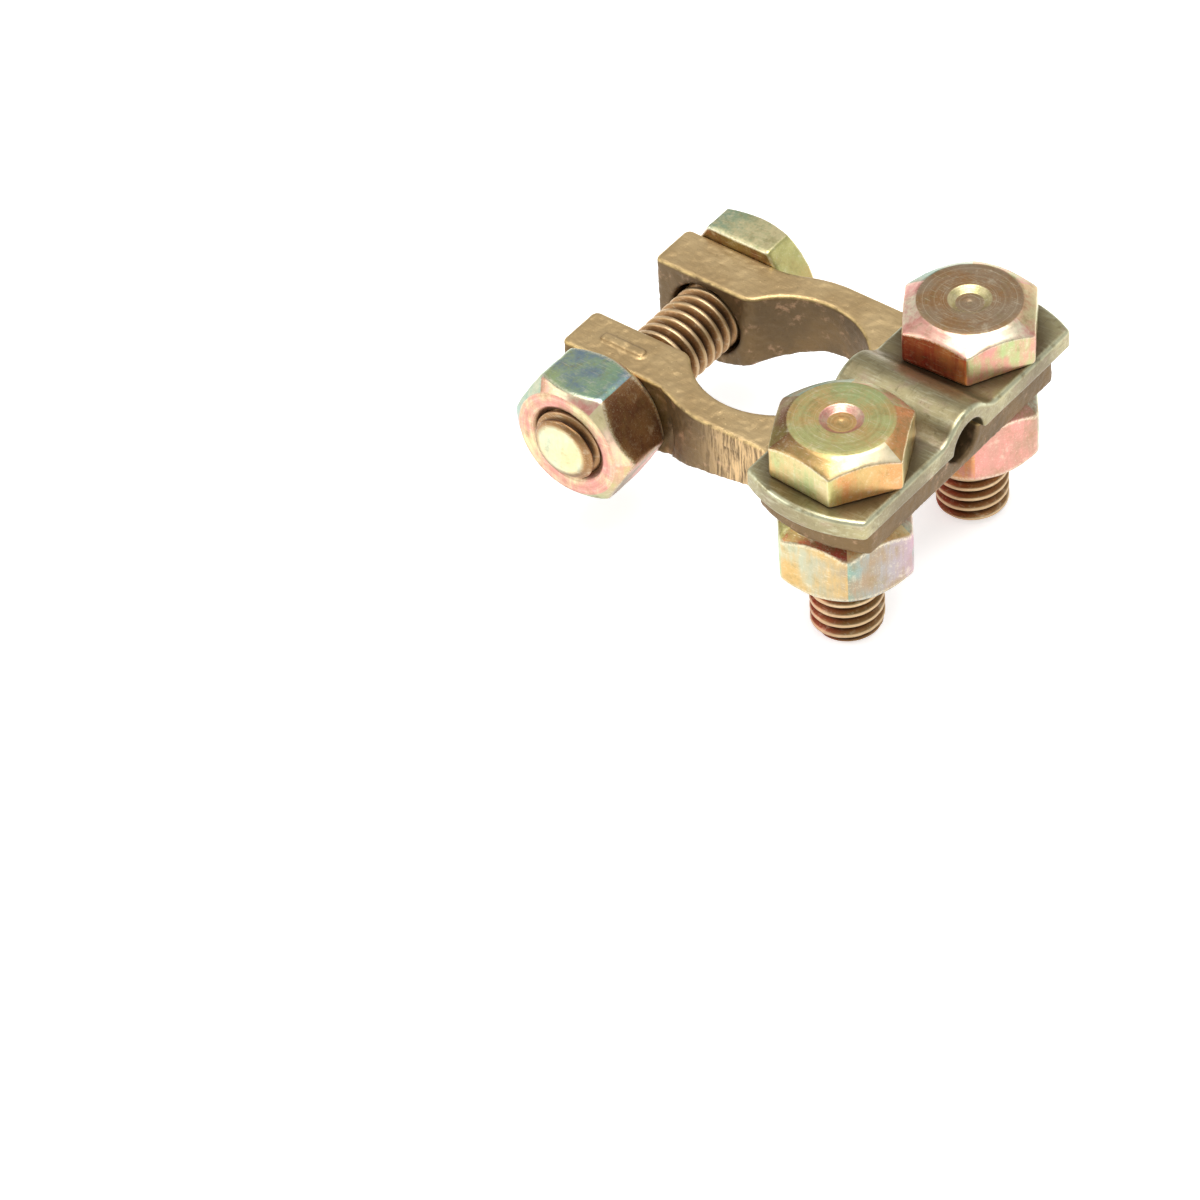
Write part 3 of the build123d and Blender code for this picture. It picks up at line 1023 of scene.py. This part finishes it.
left_nut_looks = {
    "bore": ("brown", "brown", "brown"),
    "face": ("pearl", "mauve", "teal"),
    "base": {4: ("pearl", "teal", "straw"), 5: ("teal", "mauve", "blue")},
    # The olive and brown on chamfer sectors 3 and 4 are painted shadow from the plate above.
    "chamfer": {3: ("olive", "olive", "lime"), 4: ("olive", "brown", "red"), 5: ("orange", "gold", "straw")},
    "flat": {
        3: ("lime", "pearl", "green"),
        4: ("pearl", "stone", "gold"),
        5: ("teal", "mauve", "stone"),
        0: ("mauve", "rose", "teal"),
    },
}
right_nut_looks = {
    "bore": ("brown", "brown", "brown"),
    "face": ("rose", "rose", "gold"),
    "base": {4: ("rose", "rose", "orange"), 5: ("rose", "straw", "rose")},
    "chamfer": {4: ("rose", "rose", "straw"), 5: ("orange", "stone", "rose")},
    "flat": {
        3: ("rose", "rose", "green"),
        4: ("rose", "rose", "orange"),
        5: ("rose", "stone", "rose"),
        0: ("stone", "straw", "pearl"),
    },
}
pinch_nut_looks = {
    "bore": ("brown", "brown", "brown"),
    "face": ("rose", "rose", "straw"),
    "chamfer": {
        0: ("rose", "cream", "straw"),
        1: ("cream", "olive", "rose"),
        4: ("lime", "green", "olive"),
        5: ("green", "rose", "lime"),
    },
    "flat": {
        0: ("brown", "brown", "bronze"),
        1: ("teal", "green", "blue"),
        4: ("olive", "lime", "green"),
        5: ("brown", "olive", "rose"),
    },
}


def standing_at(x, y, z):
    """The move from the origin to a place in millimetres."""
    return Matrix.Translation(Vector((x, y, z)) * MM)


def add_bolt(name, body, looks, screw_look, matrix, turn, length, start, seed):
    """A hexagon bolt, made upright with the underside of its head at the origin, and then moved."""
    head = hexagon_mesh(name + "_head", bolt_steel, head_rings(), looks, False, seed)
    head.transform(Matrix.Rotation(math.radians(turn), 4, "Z"))
    shank = make_screw(bolt_steel, length + SHANK_IN_HEAD, start)
    paint_screw(shank, screw_look)
    shank.transform(standing_at(0.0, 0.0, -length))
    mesh = joined_mesh(name + "_dressed", [head, shank])
    set_down(mesh, name + "_dressed", body, name, matrix)


def add_nut(name, body, looks, matrix, turn, seed):
    """A hexagon nut, made upright with its lower face at the origin, and then moved."""
    nut = hexagon_mesh(name + "_ring", nut_steel, nut_rings(), looks, True, seed)
    nut.transform(Matrix.Rotation(math.radians(turn), 4, "Z"))
    mesh = joined_mesh(name + "_dressed", [nut])
    set_down(mesh, name + "_dressed", body, name, matrix)


TO_BACK = Matrix.Rotation(math.radians(-90), 4, "X")
TO_FRONT = Matrix.Rotation(math.radians(90), 4, "X")
red_screw = ("bronze", "red", "gold", "gold")
plain_screw = ("bronze", "bronze", "straw", "pearl")
left_head = standing_at(bolt_reach, -bolt_side, plate_top)
right_head = standing_at(bolt_reach, bolt_side, plate_top)
pinch_head = standing_at(-pinch_back, ear_face, pinch_height) @ TO_BACK
left_nut = standing_at(bolt_reach, -bolt_side, nut_bottom)
right_nut = standing_at(bolt_reach, bolt_side, nut_bottom)
pinch_nut = standing_at(-pinch_back, -ear_face, pinch_height) @ TO_FRONT

cable_bolts = (
    ("cable_bolt_left", left_head_looks, left_head, LEFT_HEAD_TURN, 0.3, 1.0),
    ("cable_bolt_right", right_head_looks, right_head, RIGHT_HEAD_TURN, 0.7, 2.0),
)
for name, looks, matrix, turn, start, seed in cable_bolts:
    add_bolt(name, "saddle", looks, red_screw, matrix, turn, CABLE_BOLT_LENGTH, start, seed)
add_bolt(
    "pinch_bolt", "pinch_screw", pinch_head_looks, plain_screw, pinch_head,
    turn=0.0, length=PINCH_BOLT_LENGTH, start=0.1, seed=3.0,
)
add_nut("cable_nut_left", "left_nut", left_nut_looks, left_nut, CABLE_NUT_TURN, 4.0)
add_nut("cable_nut_right", "right_nut", right_nut_looks, right_nut, CABLE_NUT_TURN, 5.0)
add_nut("pinch_nut", "pinch_nut", pinch_nut_looks, pinch_nut, 0.0, 6.0)

# Floor, light and camera


def make_floor(level):
    """A plain white floor that shows white in pictures and reflections and keeps the shadow."""
    half = 1.5
    corners = [(-half, -half, level), (half, -half, level), (half, half, level), (-half, half, level)]
    mesh = bpy.data.meshes.new("floor")
    mesh.from_pydata(corners, [], [(0, 1, 2, 3)])
    material = bpy.data.materials.new("floor_white")
    material.use_nodes = True
    material.node_tree.nodes.clear()
    bench = Bench(material.node_tree)
    rays = bench.node("ShaderNodeLightPath", output="Is Camera Ray")
    seen = rays.most(rays.other("Is Glossy Ray")).most(rays.other("Is Transmission Ray"))
    plain = bench.node("ShaderNodeBsdfDiffuse", sockets={"Color": grey(0.8)})
    glow = bench.node("ShaderNodeEmission", sockets={"Color": grey(1.0), "Strength": seen * 0.6})
    both = bench.node("ShaderNodeAddShader", sockets={0: plain, 1: glow})
    bench.node("ShaderNodeOutputMaterial", sockets={"Surface": both})
    mesh.materials.append(material)
    floor = bpy.data.objects.new("floor", mesh)
    bpy.context.scene.collection.objects.link(floor)


def add_lamp(name, place, size, power):
    """A soft square lamp that faces the clamp."""
    lamp = bpy.data.lights.new(name, "AREA")
    lamp.shape = "SQUARE"
    lamp.size = size
    lamp.energy = power
    holder = bpy.data.objects.new(name, lamp)
    holder.location = place
    holder.rotation_mode = "QUATERNION"
    holder.rotation_quaternion = (-Vector(place)).to_track_quat("-Z", "Y")
    bpy.context.scene.collection.objects.link(holder)


def light_the_world():
    """Pale all round, a little greyer overhead, and white where the camera sees it."""
    world = bpy.data.worlds.new("studio")
    world.use_nodes = True
    world.node_tree.nodes.clear()
    bench = Bench(world.node_tree)
    toward = bench.node("ShaderNodeTexCoord", output="Generated")
    height = bench.node("ShaderNodeSeparateXYZ", sockets={0: toward}, output="Z")
    stops = [(0.0, grey(0.9)), (0.35, grey(0.55)), (1.0, grey(0.4))]
    sky = bench.node("ShaderNodeValToRGB", {"stops": stops}, {"Fac": height})
    seen = bench.node("ShaderNodeLightPath", output="Is Camera Ray")
    colour = bench.blend(seen, sky, grey(1.0))
    shader = bench.node("ShaderNodeBackground", sockets={"Color": colour, "Strength": 1.0})
    bench.node("ShaderNodeOutputWorld", sockets={"Surface": shader})
    bpy.context.scene.world = world


def aim_camera():
    """The camera of the photograph: its angle, its roll and the bore's place in the picture."""
    azimuth = math.radians(40.26)
    elevation = math.radians(43.13)
    roll = math.radians(3.89)
    distance = 0.65
    picture = 1200
    focal = 6219.0
    bore_across = 779.7
    bore_down = 354.7
    right = Vector((math.cos(azimuth), math.sin(azimuth), 0.0))
    level = math.cos(elevation)
    look = Vector((-math.sin(azimuth) * level, math.cos(azimuth) * level, -math.sin(elevation)))
    up = right.cross(look)
    right, up = (
        right * math.cos(roll) - up * math.sin(roll),
        right * math.sin(roll) + up * math.cos(roll),
    )
    bore_top = Vector((0.0, 0.0, casting_sizes["height"] * MM))
    sideways = (bore_across - picture / 2) / focal * distance
    upward = (picture / 2 - bore_down) / focal * distance
    eye = bore_top - right * sideways - up * upward - look * distance
    camera = bpy.data.cameras.new("camera")
    camera.sensor_width = 36.0
    camera.lens = focal / picture * camera.sensor_width
    camera.clip_start = 0.01
    camera.clip_end = 10.0
    holder = bpy.data.objects.new("camera", camera)
    frame_axes = Matrix((right, up, -look)).transposed().to_4x4()
    holder.matrix_world = Matrix.Translation(eye) @ frame_axes
    bpy.context.scene.collection.objects.link(holder)
    bpy.context.scene.camera = holder


make_floor(cad_low.z)
light_the_world()
add_lamp("lamp_over", place=(0.05, 0.0, 0.7), size=0.6, power=6.0)
add_lamp("lamp_left", place=(-0.6, -0.5, 0.4), size=0.4, power=2.0)
aim_camera()
bpy.context.scene.view_settings.view_transform = "Standard"
